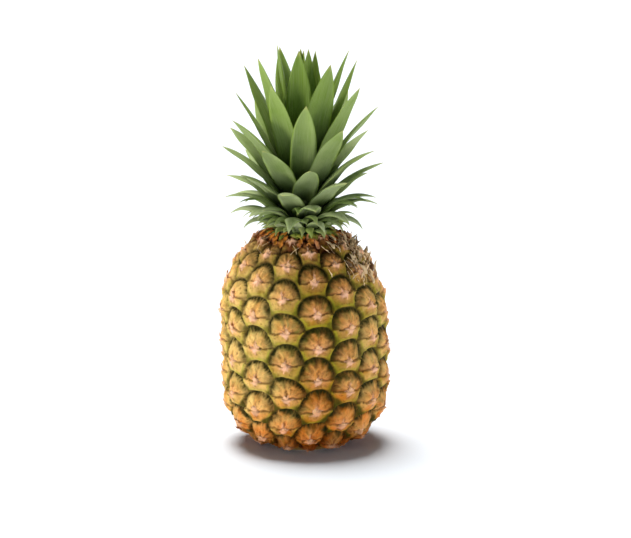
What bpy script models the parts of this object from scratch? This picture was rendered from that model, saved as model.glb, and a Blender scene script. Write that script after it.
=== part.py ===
"""A whole pineapple standing on its cut base: the fruit with its eyes, and the crown of leaves on its neck.

Run it with: blender --background --python part.py
The origin is the middle of the flat base. +Z is up and -Y is the front.
"""

import math
import random

import bmesh
import bpy
from mathutils import Vector

MM = 0.001

# The fruit's outline: a base shoulder, a straight waist and a crown shoulder, each shoulder a superellipse quarter
FRUIT_HEIGHT = 154.0 * MM
FRUIT_RADIUS = 57.2 * MM
BASE_RADIUS = 24.0 * MM
NECK_RADIUS = 21.0 * MM
BASE_SHOULDER = 45.0 * MM
NECK_SHOULDER = 54.0 * MM
BASE_ROUNDNESS = 2.0
NECK_ROUNDNESS = 1.6
NECK_OFFSET = -3.0 * MM

# The cut stalk is a low disc below the base shoulder, so that the fruit stands on it and not on its eyes
STALK_HEIGHT = 4.2 * MM
STALK_RADIUS = 23.5 * MM

# The eyes stand in upright columns, and each column is 9/16 of a row higher than the one to its left
EYE_COLUMNS = 16
EYE_STEP = 9 / 16
EYE_ROW = 23.0 * MM
EYE_HEIGHT = 83.5 * MM
EYE_ANGLE = math.radians(9.5)
EYE_LIFT = 3.4 * MM
GROOVE_DEPTH = 1.4 * MM
BRACT_LIFT = 1.5 * MM
BRACT_TIP_LIFT = 1.3 * MM
ARCH_WIDTH = 0.60
ARCH_HEIGHT = 0.52

# How finely the fruit is split into faces
SIDES_PER_EYE = 5
FRUIT_ROWS = 48
BASE_FADE = 5.0 * MM
NECK_FADE = 9.0 * MM

# The crown sits on the neck, clear of it by a hair
CROWN_GAP = 0.3 * MM
STEM_RADIUS = 18.0 * MM
STEM_HEIGHT = 60.0 * MM
STEM_SIDES = 20
LEAF_COUNT = 66
LEAF_TURN = math.radians(138.0)
LEAF_FIRST_ANGLE = math.radians(355.0)
LEAF_THICKNESS = 2.4 * MM
LEAF_CUP = 0.30
LEAF_BANDS = 5
LEAF_WIDEST = 0.35
LEAF_FOOT = 0.55
SEED = 212
SLIVER = 0.002 * MM

# The low leaves have long thin tips and the upper ones full rounded tips. Between these shares up the crown, the
# power of a leaf's taper grows from the thin one to the full one.
TIP_THIN = 1.25
TIP_FULL = 3.0
THIN_UNTIL = 0.10
FULL_FROM = 0.60

# A leaf from the lowest to the innermost: its share of the way up, its foot's height on the stem and distance from
# the axis, its length and width, and how steeply it climbs at its foot and at its tip
LEAF_STAGES = (
    (0.00, 2.2 * MM, 16.5 * MM, 15.0 * MM, 9.0 * MM, 62.0, 30.0),
    (0.08, 3.0 * MM, 16.0 * MM, 26.0 * MM, 10.0 * MM, 56.0, -40.0),
    (0.16, 5.0 * MM, 15.0 * MM, 36.0 * MM, 12.0 * MM, 48.0, -66.0),
    (0.24, 8.0 * MM, 14.0 * MM, 43.0 * MM, 15.0 * MM, 45.0, -46.0),
    (0.34, 13.0 * MM, 13.0 * MM, 48.0 * MM, 17.0 * MM, 45.0, -22.0),
    (0.47, 19.0 * MM, 12.0 * MM, 54.0 * MM, 18.0 * MM, 50.0, 4.0),
    (0.60, 26.0 * MM, 10.0 * MM, 64.0 * MM, 18.0 * MM, 58.0, 23.0),
    (0.72, 32.0 * MM, 8.5 * MM, 78.0 * MM, 18.5 * MM, 67.0, 40.0),
    (0.82, 37.0 * MM, 7.0 * MM, 91.0 * MM, 20.0 * MM, 73.0, 55.0),
    (0.90, 41.0 * MM, 5.0 * MM, 94.0 * MM, 20.0 * MM, 80.0, 66.0),
    (0.95, 45.0 * MM, 3.5 * MM, 89.0 * MM, 18.0 * MM, 86.0, 80.0),
    (1.00, 48.0 * MM, 2.0 * MM, 81.0 * MM, 14.0 * MM, 90.0, 90.0),
)


def clear_scene():
    for obj in list(bpy.data.objects):
        bpy.data.objects.remove(obj, do_unlink=True)


def smooth_step(low, high, value):
    share = min(1.0, max(0.0, (value - low) / (high - low)))
    return share * share * (3.0 - 2.0 * share)


def material(name, colour, roughness):
    made = bpy.data.materials.new(name)
    made.use_nodes = True
    shader = made.node_tree.nodes["Principled BSDF"]
    shader.inputs["Base Color"].default_value = (*colour, 1.0)
    shader.inputs["Roughness"].default_value = roughness
    shader.inputs["Metallic"].default_value = 0.0
    return made


def shoulder(inner, rise, roundness, steps=40):
    """(radius, distance from the waist) along a shoulder, from the waist's edge to the flat end."""
    points = []
    for step in range(steps + 1):
        angle = math.pi / 2 * step / steps
        radius = inner + (FRUIT_RADIUS - inner) * math.cos(angle) ** (2 / roundness)
        points.append((radius, rise * math.sin(angle) ** (2 / roundness)))
    return points


def fruit_outline():
    """The fruit's outline from the base to the neck, as (radius, height) points close together."""
    base_rise = BASE_SHOULDER - STALK_HEIGHT
    base = [(r, BASE_SHOULDER - d) for r, d in shoulder(BASE_RADIUS, base_rise, BASE_ROUNDNESS)]
    waist_top = FRUIT_HEIGHT - NECK_SHOULDER
    neck = [(r, waist_top + d) for r, d in shoulder(NECK_RADIUS, NECK_SHOULDER, NECK_ROUNDNESS)]
    return base[::-1] + neck


class Outline:
    """The outline measured along its own length."""

    def __init__(self, points):
        self.points = points
        self.lengths = [0.0]
        for (r0, z0), (r1, z1) in zip(points, points[1:]):
            self.lengths.append(self.lengths[-1] + math.hypot(r1 - r0, z1 - z0))

    def at(self, length):
        """(radius, height) that far along the outline."""
        for index in range(1, len(self.points)):
            if length <= self.lengths[index] or index == len(self.points) - 1:
                span = self.lengths[index] - self.lengths[index - 1]
                share = (length - self.lengths[index - 1]) / span
                (r0, z0), (r1, z1) = self.points[index - 1 : index + 1]
                return r0 + (r1 - r0) * share, z0 + (z1 - z0) * share

    def length_at_height(self, height):
        for (_, z0), (_, z1), start, end in zip(self.points, self.points[1:], self.lengths, self.lengths[1:]):
            if z0 <= height <= z1:
                return start + (end - start) * (height - z0) / (z1 - z0)

    def facing(self, length, reach=1.0 * MM):
        """The outward direction there, as (radial, upward)."""
        r0, z0 = self.at(max(0.0, length - reach))
        r1, z1 = self.at(min(self.lengths[-1], length + reach))
        size = math.hypot(r1 - r0, z1 - z0)
        return (z1 - z0) / size, (r0 - r1) / size


def eye_place(across, up):
    """Where a point lies in the eye nearest to it, as (across, up) from that eye's middle in columns and rows."""
    best = None
    for column in range(math.floor(across) - 1, math.floor(across) + 3):
        first = column * EYE_STEP
        row = first + round(up - first)
        place = (across - column, up - row)
        if best is None or math.hypot(*place) < math.hypot(*best):
            best = place
    return best


def eye_relief(across, up):
    """How far the rind stands out there: a domed upper half in its groove, and a bract with a raised tip below."""
    arch = math.hypot(across / ARCH_WIDTH, up / ARCH_HEIGHT)
    dome = -GROOVE_DEPTH + (EYE_LIFT + GROOVE_DEPTH) * (1.0 - min(1.0, arch) ** 3)
    bract = BRACT_LIFT + (EYE_LIFT - BRACT_LIFT) * (1.0 - min(1.0, arch)) ** 0.6
    tip = BRACT_TIP_LIFT * max(0.0, 1.0 - math.hypot(across / 0.22, (up + 0.08) / 0.24))
    upper = smooth_step(-0.09, 0.03, up)
    return dome * upper + bract * (1.0 - upper) + tip


def axis_offset(height):
    """The neck leans a little to one side."""
    return NECK_OFFSET * smooth_step(0.35 * FRUIT_HEIGHT, FRUIT_HEIGHT, height)


def fruit():
    outline = Outline(fruit_outline())
    whole = outline.lengths[-1]
    first = outline.length_at_height(EYE_HEIGHT)
    sides = EYE_COLUMNS * SIDES_PER_EYE
    mesh = bmesh.new()
    rings = []
    for row in range(FRUIT_ROWS + 1):
        length = whole * row / FRUIT_ROWS
        radius, height = outline.at(length)
        outward, upward = outline.facing(length)
        fade = smooth_step(0.0, BASE_FADE, length) * smooth_step(0.0, NECK_FADE, whole - length)
        ring = []
        for side in range(sides):
            angle = 2 * math.pi * side / sides
            across = (angle - EYE_ANGLE) * EYE_COLUMNS / (2 * math.pi)
            relief = eye_relief(*eye_place(across, (length - first) / EYE_ROW)) * fade
            r = radius + outward * relief
            z = height + upward * relief
            ring.append(mesh.verts.new((r * math.sin(angle) + axis_offset(z), -r * math.cos(angle), z)))
        rings.append(ring)
    stalk = []
    for side in range(sides):
        angle = 2 * math.pi * side / sides
        stalk.append(mesh.verts.new((STALK_RADIUS * math.sin(angle), -STALK_RADIUS * math.cos(angle), 0.0)))
    rings.insert(0, stalk)
    for lower, upper in zip(rings, rings[1:]):
        for side in range(sides):
            after = (side + 1) % sides
            mesh.faces.new((lower[side], lower[after], upper[after], upper[side]))
    for ring, z in ((rings[0][::-1], 0.0), (rings[-1], FRUIT_HEIGHT)):
        middle = mesh.verts.new((axis_offset(z), 0.0, z))
        for side in range(sides):
            mesh.faces.new((middle, ring[side], ring[(side + 1) % sides]))
    return finished("fruit", mesh, material("rind", (0.55, 0.40, 0.13), 0.55))


def stage_at(share):
    """A leaf's numbers at this share of the way up, between the stages on either side."""
    for low, high in zip(LEAF_STAGES, LEAF_STAGES[1:]):
        if share <= high[0]:
            part = (share - low[0]) / (high[0] - low[0])
            return [a + (b - a) * part for a, b in zip(low[1:], high[1:])]


def leaf_width(share, fullness):
    """A leaf's width along its length, as a part of its full width: a broad foot and a long taper to the tip."""
    if share < LEAF_WIDEST:
        return LEAF_FOOT + (1.0 - LEAF_FOOT) * math.sin(math.pi / 2 * share / LEAF_WIDEST)
    return max(0.0, 1.0 - ((share - LEAF_WIDEST) / (1.0 - LEAF_WIDEST)) ** fullness)


def leaf(collection, name, angle, foot, length, width, slopes, lean, fullness):
    """One channelled leaf. slopes are the climb in degrees at the foot and at the tip, lean turns it on its own line,
    and fullness is the power of its taper."""
    distance, height = foot
    out = Vector((math.sin(angle), -math.cos(angle), 0.0))
    aside = Vector((math.cos(angle), math.sin(angle), 0.0))
    point = out * distance + Vector((NECK_OFFSET, 0.0, FRUIT_HEIGHT + height))
    mesh = bmesh.new()
    rings = []
    fine = 6
    for band in range(LEAF_BANDS):
        share = band / LEAF_BANDS
        climb = math.radians(slopes[0] + (slopes[1] - slopes[0]) * share**1.4)
        along = out * math.cos(climb) + Vector((0, 0, math.sin(climb)))
        side = (aside * math.cos(lean * share) + along.cross(aside) * math.sin(lean * share)).normalized()
        inward = side.cross(along).normalized()
        half = width * leaf_width(share, fullness) / 2
        thick = LEAF_THICKNESS * (1.0 - 0.55 * share) / 2
        raised = inward * (LEAF_CUP * half)
        corners = (raised - side * half, inward * thick, raised + side * half, -inward * thick)
        rings.append([mesh.verts.new(point + corner) for corner in corners])
        for piece in range(fine):
            here = (band + (piece + 0.5) / fine) / LEAF_BANDS
            climb = math.radians(slopes[0] + (slopes[1] - slopes[0]) * here**1.4)
            ahead = out * math.cos(climb) + Vector((0, 0, math.sin(climb)))
            point = point + ahead * (length / LEAF_BANDS / fine)
    tip = mesh.verts.new(point)
    count = len(rings[0])
    for ring, following in zip(rings, rings[1:]):
        for i in range(count):
            j = (i + 1) % count
            # Both faces are split along the same diagonal, so that they never cross where the leaf is thin.
            if i < 2:
                mesh.faces.new((ring[i], ring[j], following[j]))
                mesh.faces.new((ring[i], following[j], following[i]))
            else:
                mesh.faces.new((ring[i], ring[j], following[i]))
                mesh.faces.new((ring[j], following[j], following[i]))
    for i in range(count):
        mesh.faces.new((rings[-1][i], rings[-1][(i + 1) % count], tip))
    mesh.faces.new(rings[0][::-1])
    bmesh.ops.recalc_face_normals(mesh, faces=mesh.faces)
    data = bpy.data.meshes.new(name)
    mesh.to_mesh(data)
    mesh.free()
    made = bpy.data.objects.new(name, data)
    collection.objects.link(made)


def stem():
    """The crown's core: a flat foot on the neck, tapering to a blunt top among the inner leaves."""
    outline = (
        (STEM_RADIUS, 0.0),
        (STEM_RADIUS, 0.12),
        (0.93 * STEM_RADIUS, 0.40),
        (0.78 * STEM_RADIUS, 0.72),
        (0.45 * STEM_RADIUS, 1.0),
    )
    mesh = bmesh.new()
    rings = []
    for radius, share in outline:
        z = FRUIT_HEIGHT + CROWN_GAP + share * STEM_HEIGHT
        rings.append(
            [
                mesh.verts.new(
                    (
                        NECK_OFFSET + radius * math.sin(2 * math.pi * side / STEM_SIDES),
                        -radius * math.cos(2 * math.pi * side / STEM_SIDES),
                        z,
                    )
                )
                for side in range(STEM_SIDES)
            ]
        )
    for lower, upper in zip(rings, rings[1:]):
        for side in range(STEM_SIDES):
            after = (side + 1) % STEM_SIDES
            mesh.faces.new((lower[side], lower[after], upper[after], upper[side]))
    mesh.faces.new(rings[0][::-1])
    mesh.faces.new(rings[-1])
    return finished("crown", mesh, material("leaf", (0.16, 0.26, 0.06), 0.5))


def crown():
    core = stem()
    leaves = bpy.data.collections.new("leaves")
    bpy.context.scene.collection.children.link(leaves)
    draw = random.Random(SEED)
    for index in range(LEAF_COUNT):
        share = index / (LEAF_COUNT - 1)
        height, distance, length, width, foot_slope, tip_slope = stage_at(share)
        fullness = TIP_THIN + (TIP_FULL - TIP_THIN) * smooth_step(THIN_UNTIL, FULL_FROM, share)
        angle = LEAF_FIRST_ANGLE + index * LEAF_TURN + math.radians(draw.uniform(-5, 5))
        length *= draw.uniform(0.93, 1.05)
        slopes = (foot_slope + draw.uniform(-3, 3), tip_slope + draw.uniform(-7, 7))
        lean = math.radians(draw.uniform(-14, 14))
        leaf(leaves, f"leaf_{index:02d}", angle, (distance, height), length, width, slopes, lean, fullness)
    union = core.modifiers.new("join_leaves", "BOOLEAN")
    union.operation = "UNION"
    union.solver = "MANIFOLD"
    union.operand_type = "COLLECTION"
    union.collection = leaves
    bpy.context.view_layer.objects.active = core
    bpy.ops.object.modifier_apply(modifier=union.name)
    for obj in list(leaves.objects):
        bpy.data.objects.remove(obj, do_unlink=True)
    bpy.data.collections.remove(leaves)
    merge_slivers(core.data)
    core.data.shade_smooth()
    core.data.set_sharp_from_angle(angle=math.radians(40))
    return core


def merge_slivers(data):
    """The union leaves points a hair apart where leaves cross. They become one point."""
    mesh = bmesh.new()
    mesh.from_mesh(data)
    bmesh.ops.remove_doubles(mesh, verts=mesh.verts, dist=SLIVER)
    bmesh.ops.dissolve_degenerate(mesh, edges=mesh.edges, dist=SLIVER)
    mesh.to_mesh(data)
    mesh.free()


def finished(name, mesh, look):
    """Makes the named object from a bmesh, shaded smooth where the form is round."""
    bmesh.ops.recalc_face_normals(mesh, faces=mesh.faces)
    data = bpy.data.meshes.new(name)
    mesh.to_mesh(data)
    mesh.free()
    data.materials.append(look)
    data.shade_smooth()
    data.set_sharp_from_angle(angle=math.radians(50))
    made = bpy.data.objects.new(name, data)
    bpy.context.scene.collection.objects.link(made)
    return made


def main():
    clear_scene()
    fruit()
    crown()


main()
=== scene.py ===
"""The looks of a whole pineapple: its rind of eyes, their bracts, the ruff at the neck and the crown.

Sizes are in millimetres until a mesh is made, and colours are written as they look on a screen.
The outline, the places of the eyes and the leaves' rule repeat the solids' own,
so each piece lies on its solid.
"""

import math
import random

import bpy
import numpy as np
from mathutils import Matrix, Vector


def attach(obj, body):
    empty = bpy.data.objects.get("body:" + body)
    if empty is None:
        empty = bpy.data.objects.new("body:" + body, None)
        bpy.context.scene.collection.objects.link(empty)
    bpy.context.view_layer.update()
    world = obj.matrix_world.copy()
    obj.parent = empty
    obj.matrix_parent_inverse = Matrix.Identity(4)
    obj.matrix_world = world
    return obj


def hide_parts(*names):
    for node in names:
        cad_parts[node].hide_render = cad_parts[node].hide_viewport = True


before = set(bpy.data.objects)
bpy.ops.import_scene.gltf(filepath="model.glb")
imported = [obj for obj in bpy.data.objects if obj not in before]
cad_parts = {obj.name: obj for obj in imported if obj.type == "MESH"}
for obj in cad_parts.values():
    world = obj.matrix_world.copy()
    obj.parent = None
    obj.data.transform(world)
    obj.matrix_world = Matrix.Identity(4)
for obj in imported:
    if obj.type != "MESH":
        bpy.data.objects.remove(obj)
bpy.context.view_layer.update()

MM = 0.001
CLEAR = 0.25

# The fruit's outline
FRUIT_HEIGHT = 154.0
FRUIT_RADIUS = 57.2
BASE_RADIUS = 24.0
NECK_RADIUS = 21.0
BASE_SHOULDER = 45.0
NECK_SHOULDER = 54.0
BASE_ROUNDNESS = 2.0
NECK_ROUNDNESS = 1.6
NECK_OFFSET = -3.0
STALK_HEIGHT = 4.2
STALK_RADIUS = 23.5
STALK_RINGS = (0.33, 0.66, 1.0)

# The eyes: 16 upright columns, each 9/16 of a row higher than the one to its left
EYE_COLUMNS = 16
EYE_STEP = 9 / 16
EYE_ROW = 23.0
EYE_HEIGHT = 83.5
EYE_ANGLE = math.radians(9.5)
EYE_SEED = 12
BASE_LEAN = 0.27
LEAN_HEIGHTS = (8.0, 48.0)
WANDER = 0.035
WANDER_SIZE = 60.0
ARCH_WIDTH = 0.575
ARCH_HEIGHT = 0.63
ARCH_SQUARENESS = 2.35
EYE_SWELL = 0.045
EYE_SHIFT = 0.035
EYE_SIZES = (0.95, 1.03)
EYE_LIFTS = (-0.45, 0.30)
BRACT_WIDTH = 0.62
BRACT_DEPTH = 0.75
BRACT_REACH_ASIDE = 0.60
BRACT_REACH_DOWN = 0.52
CREASE_BLEND = 0.035
KNOB_WIDTH = 3.2
KNOB_HEIGHT = 2.7

# How far the star's middle lies below the crease, and how far the star stands out
STAR_DROP = 1.7
STAR_LIFT = 0.7

# The star's rays: the way each points in degrees, from the right-hand side upward, and how far it reaches
STAR_RAYS = ((92.0, 7.5), (12.0, 5.4), (168.0, 5.4), (-62.0, 4.2), (-118.0, 4.2))

DOME_LIFT = 3.0
BRACT_LIFT = 3.1
MARGIN_LIFT = 1.2
GROOVE_DEPTH = 1.3

# The heights over which the rind's colours come or go: the orange low down, the painted shade at the foot,
# the brown brow and the dark brown painted shade at the neck
LOW_HEIGHTS = (20.0, 80.0)
FOOT_SHADE_HEIGHTS = (3.0, 26.0)
BROW_HEIGHTS = (100.0, 140.0)
NECK_SHADE_HEIGHTS = (143.0, 151.0)

# Where the two flanks are painted paler, as if lit by the side lamps, across from the middle and up from
# the base
LEFT_LIT_FLANK = ((-8.0, 44.0), (5.0, 40.0))
RIGHT_LIT_FLANK = ((15.0, 52.0), (0.0, 20.0))

# How far out on a dome, from 0 to 1, its light heart ends and its dark rim starts; the rim is partly the
# dome's own dark green and partly painted shade in the groove under the bract above
HEART_RANGE = (0.36, 0.84)
RIM_RANGE = (0.66, 0.97)
BLOTCH_SIZE = 7.0
BLOTCH_SEED = 33

# The dome's furrows: how many run round it, and how far each kind stands out or is cut in
WRINKLES = 12
FOLDS = 5
SCALLOPS = 31
WRINKLE_LIFT = 0.9
FOLD_LIFT = 1.3
SCALLOP_LIFT = 0.16
SLIT_DEPTH = 0.7
CREASE_DEPTH = 0.4
UPPER_LIP_LIFT = 0.15

# The bract's ribs, keel, lower lip and edges in the same way
RIBS = 8
RIB_LIFT = 0.45
KEEL_LIFT = 0.5
LOWER_LIP_LIFT = 0.3
OUTER_EDGE_LIFT = 0.30
SHADE_DEPTH = 0.6
GAP_DEPTH = 0.9

# The rind's fine unevenness: how long each kind's waves are, how high, and their seed
RIND_NOISE = ((5.0, 0.30, 31), (2.4, 0.24, 32))

# The ruff's rows at the neck: how many bracts, how far below the neck they start, their length and width
RUFF_ROWS = ((30, 13.0, 7.5, 5.2), (28, 9.0, 7.5, 5.2), (24, 5.0, 7.5, 5.0))

BASE_FADE = 5.0
NECK_FADE = 8.0
RIND_SIDES = 400
RIND_ROWS = 236

# The crown's leaves
STEM_RADIUS = 18.0
STEM_HEIGHT = 60.0
LEAF_COUNT = 66
LEAF_TURN = math.radians(138.0)
LEAF_FIRST_ANGLE = math.radians(355.0)
LEAF_CUP = 0.30
LEAF_WIDEST = 0.35
LEAF_FOOT = 0.55
TIP_THIN = 1.25
TIP_FULL = 3.0
THIN_UNTIL = 0.10
FULL_FROM = 0.60
LEAF_SEED = 212
LEAF_STEPS = 30
LEAF_ACROSS = 9

# How much the leaves vary in angle, in climb at the foot and at the tip and in lean, all in degrees,
# and in length
ANGLE_SPREAD = 5
FOOT_CLIMB_SPREAD = 3
TIP_CLIMB_SPREAD = 7
LEAN_SPREAD = 14
LENGTH_RANGE = (0.93, 1.05)

# The leaves at each share of the way up the crown: share, foot height, foot distance, length, width,
# climb at the foot and at the tip in degrees
LEAF_STAGES = (
    (0.00, 2.2, 16.5, 15.0, 9.0, 62.0, 30.0),
    (0.08, 3.0, 16.0, 26.0, 10.0, 56.0, -40.0),
    (0.16, 5.0, 15.0, 36.0, 12.0, 48.0, -66.0),
    (0.24, 8.0, 14.0, 43.0, 15.0, 45.0, -46.0),
    (0.34, 13.0, 13.0, 48.0, 17.0, 45.0, -22.0),
    (0.47, 19.0, 12.0, 54.0, 18.0, 50.0, 4.0),
    (0.60, 26.0, 10.0, 64.0, 18.0, 58.0, 23.0),
    (0.72, 32.0, 8.5, 78.0, 18.5, 67.0, 40.0),
    (0.82, 37.0, 7.0, 91.0, 20.0, 73.0, 55.0),
    (0.90, 41.0, 5.0, 94.0, 20.0, 80.0, 66.0),
    (0.95, 45.0, 3.5, 89.0, 18.0, 86.0, 80.0),
    (1.00, 48.0, 2.0, 81.0, 14.0, 90.0, 90.0),
)

# Rings of small leaves that close the crown's foot: how many, foot height, foot distance, length, width,
# climb at the foot and at the tip in degrees, and how dry they are
FOOT_RINGS = (
    (22, 1.2, 17.5, 11.0, 8.5, 20.0, -62.0, 0.9),
    (20, 4.0, 17.0, 17.0, 9.0, 38.0, -66.0, 0.35),
    (17, 8.0, 16.0, 25.0, 9.5, 46.0, -52.0, 0.1),
    (13, 13.0, 15.0, 32.0, 11.0, 50.0, -34.0, 0.0),
)

# The core's outline: share of its width and share of its height
CORE_OUTLINE = ((1.0, 0.0), (1.0, 0.12), (0.93, 0.40), (0.78, 0.72), (0.45, 1.0))
CORE_ROWS = 30
CORE_SIDES = 72
CORE_RIPPLE = 0.7

# The papery tips: the sizes that they come in, how long and wide they are, and what share ends in a hair
TIP_SIZES = (0.75, 0.9, 1.0, 1.15)
TIP_REACH = 4.2
TIP_WIDTH = 4.2
HAIR_SHARE = 0.35

# The dry fibres: how many there are, how many of them lie in the patch on the front right shoulder,
# the patch's middle and spread in degrees, and how far below the neck the patch and the others start
FIBRE_COUNT = 150
PATCH_COUNT = 125
PATCH_MIDDLE = 66
PATCH_SPREAD = 17
PATCH_BAND = (10, 48)
LOOSE_BAND = (6, 24)

# Colours on the screen, from 0 to 1
GROOVE = (0.13, 0.11, 0.02)
RIM_DARK_AND_SHADE = (0.17, 0.17, 0.04)
SHOULDER_OLIVE = (0.36, 0.35, 0.10)
SHOULDER_DARK = (0.26, 0.25, 0.05)
RIM_OLIVE = (0.36, 0.27, 0.06)
RIM_MAUVE = (0.44, 0.28, 0.14)
RIM_BROWN = (0.38, 0.22, 0.10)
DOME_TAN = (0.85, 0.60, 0.31)
DOME_ORANGE = (0.80, 0.47, 0.14)
SLIT_AND_CREASE_SHADE = (0.38, 0.13, 0.05)
BRACT_GOLD = (0.58, 0.43, 0.10)
BRACT_CREAM = (0.90, 0.71, 0.38)
BRACT_OLIVE = (0.57, 0.49, 0.09)
MARGIN_LIGHT = (0.60, 0.62, 0.14)
BLUSH = (0.97, 0.69, 0.48)
SIDE_LIGHT_PALE = (0.99, 0.83, 0.50)
PAPER_PINK = (0.96, 0.74, 0.61)
PAPER_BROWN = (0.50, 0.33, 0.19)
LOW_ORANGE = (0.90, 0.44, 0.03)
SIDE_LIGHT_GREEN = (0.80, 0.76, 0.34)
NECK_SHADE = (0.34, 0.12, 0.04)
FOOT_SHADE = (0.40, 0.16, 0.03)
RUFF_RUST = (0.90, 0.50, 0.15)
RUFF_STRAW = (0.84, 0.54, 0.22)
FIBRE_PALE = (0.94, 0.82, 0.64)
STALK_TAN = (0.60, 0.48, 0.30)
CORE_GREEN = (0.20, 0.24, 0.08)
LEAF_DRY = (0.62, 0.60, 0.22)
LEAF_FOOT_SHADE = (0.10, 0.13, 0.03)
LEAF_GREEN = (0.33, 0.44, 0.08)
LEAF_BRIGHT = (0.48, 0.59, 0.13)
LEAF_BLOOM = (0.70, 0.73, 0.56)
LEAF_TIP_TAN = (0.68, 0.66, 0.38)
FLOOR_WHITE = (0.935, 0.955, 0.985)

# The view of the photograph: its frame in pixels, and where the fruit's ground point is in it
FRAME_PIXELS = (631, 538)
GROUND_PIXEL = (305.5, 443.5)
PIXEL_SIZE = 0.714
CAMERA_CLIMB = math.radians(12.0)
CAMERA_DISTANCE = 2000.0
SENSOR = 36.0

# The studio's light: how bright and of what tint its walls are near the floor and overhead
SKY_LOW = 1.2
SKY_HIGH = 0.07
SKY_LOW_TINT = (0.85, 0.92, 1.0)
SKY_HIGH_TINT = (0.20, 0.62, 1.0)

# Where the walls start to turn into the ceiling and where they end, as the sine of the climb
SKY_TURN = (0.05, 0.20)

# The lamps: name, the way to it, softness in degrees, power and tint
LAMPS = (
    ("overhead", (-0.12, 0.16, 1.0), 34.0, 4.35, (1.0, 0.985, 0.95)),
    ("key", (-0.95, -0.36, 0.01), 12.0, 3.1, (1.0, 0.965, 0.87)),
    ("fill", (0.95, -0.30, 0.01), 15.0, 1.8, (1.0, 0.965, 0.87)),
)
FLOOR_REACH = 6000.0

# The rind's layers from the bottom up: the colour, the masks that hold it, the noise that breaks it up
# and how strong it is. The noise is its scale and the range of it that is stretched to the whole.
RIND_LAYERS = (
    (BRACT_CREAM, ("tone",), (150, 0.42, 0.66), 0.45),
    (DOME_ORANGE, ("warm",), (170, 0.45, 0.70), 0.40),
    (BRACT_OLIVE, ("olive",), (120, 0.05, 0.45), 1.0),
    (RIM_OLIVE, ("dome",), None, 1.0),
    (RIM_MAUVE, ("dome",), (95, 0.40, 0.65), 0.80),
    (SHOULDER_OLIVE, ("dome",), (150, 0.45, 0.66), 0.80),
    (DOME_TAN, ("heart",), None, 1.0),
    (DOME_ORANGE, ("heart", "warm"), (150, 0.35, 0.65), 0.60),
    (LOW_ORANGE, ("low",), (75, 0.30, 0.65), 0.80),
    # painted light: both flanks made paler, the left one greener too, as the side lamps light them
    (SIDE_LIGHT_GREEN, ("left",), (60, 0.25, 0.70), 0.30),
    (SIDE_LIGHT_PALE, ("left",), (110, 0.20, 0.70), 0.74),
    (SIDE_LIGHT_PALE, ("right",), (110, 0.25, 0.70), 0.50),
    (MARGIN_LIGHT, ("margin",), (200, 0.20, 0.50), 0.80),
    (PAPER_BROWN, ("brow",), (60, 0.20, 0.70), 0.58),
    # partly the lips' own cream colour, partly a painted highlight along the raised lips beside the crease
    (BRACT_CREAM, ("lip_and_highlight",), (160, 0.30, 0.70), 0.35),
    (BLUSH, ("blush",), (130, 0.28, 0.62), 0.80),
    # painted highlight on the wrinkles' ridges, then painted shade in their furrows
    (BRACT_CREAM, ("ridge",), (190, 0.35, 0.70), 0.20),
    (RIM_BROWN, ("furrow",), (210, 0.35, 0.70), 0.34),
    (PAPER_BROWN, ("keel",), (240, 0.30, 0.60), 0.80),
    (SHOULDER_DARK, ("valley",), (110, 0.05, 0.40), 1.0),
    # the slit's dark red is the eye's own colour; the dark line along the crease is painted shade in the
    # fold
    (SLIT_AND_CREASE_SHADE, ("slit",), (260, 0.20, 0.50), 1.0),
    # partly the rim's own dark green, partly painted shade in the groove under the bract above
    (RIM_DARK_AND_SHADE, ("rim_and_groove_shade",), (90, 0.0, 0.35), 1.0),
    (RIM_BROWN, (), (420, 0.55, 0.75), 0.50),
    (GROOVE, (), (800, 0.60, 0.75), 0.40),
    # painted shade: dark brown on the rind at the neck, for the shade in the gaps between the ruff's
    # bracts
    (NECK_SHADE, ("neck",), (140, 0.10, 0.50), 0.85),
    # painted shade: the rind darkened towards its base, where it stands in shade over the floor
    (FOOT_SHADE, ("foot",), (90, 0.0, 0.40), 0.60),
    (PAPER_PINK, ("paper",), (420, 0.05, 0.45), 0.90),
    (STALK_TAN, ("stalk",), None, 1.0),
)

# How far the ridges and furrows of the "spokes" mask reach before they are coloured: a painted highlight
# on the ridges and painted shade in the furrows
SPOKE_RANGE = (0.54, 0.80)
NOISE_DETAIL = 3.0


def screen(colour):
    """A colour as it looks on a screen, turned into the light that shows it."""
    return tuple(c / 12.92 if c <= 0.04045 else ((c + 0.055) / 1.055) ** 2.4 for c in colour)


def ramp(low, high, value):
    share = np.clip((value - low) / (high - low), 0.0, 1.0)
    return share * share * (3.0 - 2.0 * share)


def hump(middle, reach, value):
    return 1.0 - ramp(0.0, reach, np.abs(value - middle))


def waves(points, size, seed, count=12):
    """Smooth uneven noise from -1 to 1 at points, as a sum of plane waves about this long."""
    draw = np.random.default_rng(seed)
    total = np.zeros(len(points))
    for _ in range(count):
        way = draw.normal(size=3)
        way /= np.linalg.norm(way)
        length = size * draw.uniform(0.6, 1.6)
        total += np.sin(points @ way * (2 * math.pi / length) + draw.uniform(0, 2 * math.pi))
    return total / math.sqrt(count / 2) / 1.6


def shoulder(inner, rise, roundness, steps=60):
    angle = np.linspace(0.0, math.pi / 2, steps + 1)
    radius = inner + (FRUIT_RADIUS - inner) * np.clip(np.cos(angle), 0, 1) ** (2 / roundness)
    return radius, rise * np.sin(angle) ** (2 / roundness)


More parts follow.
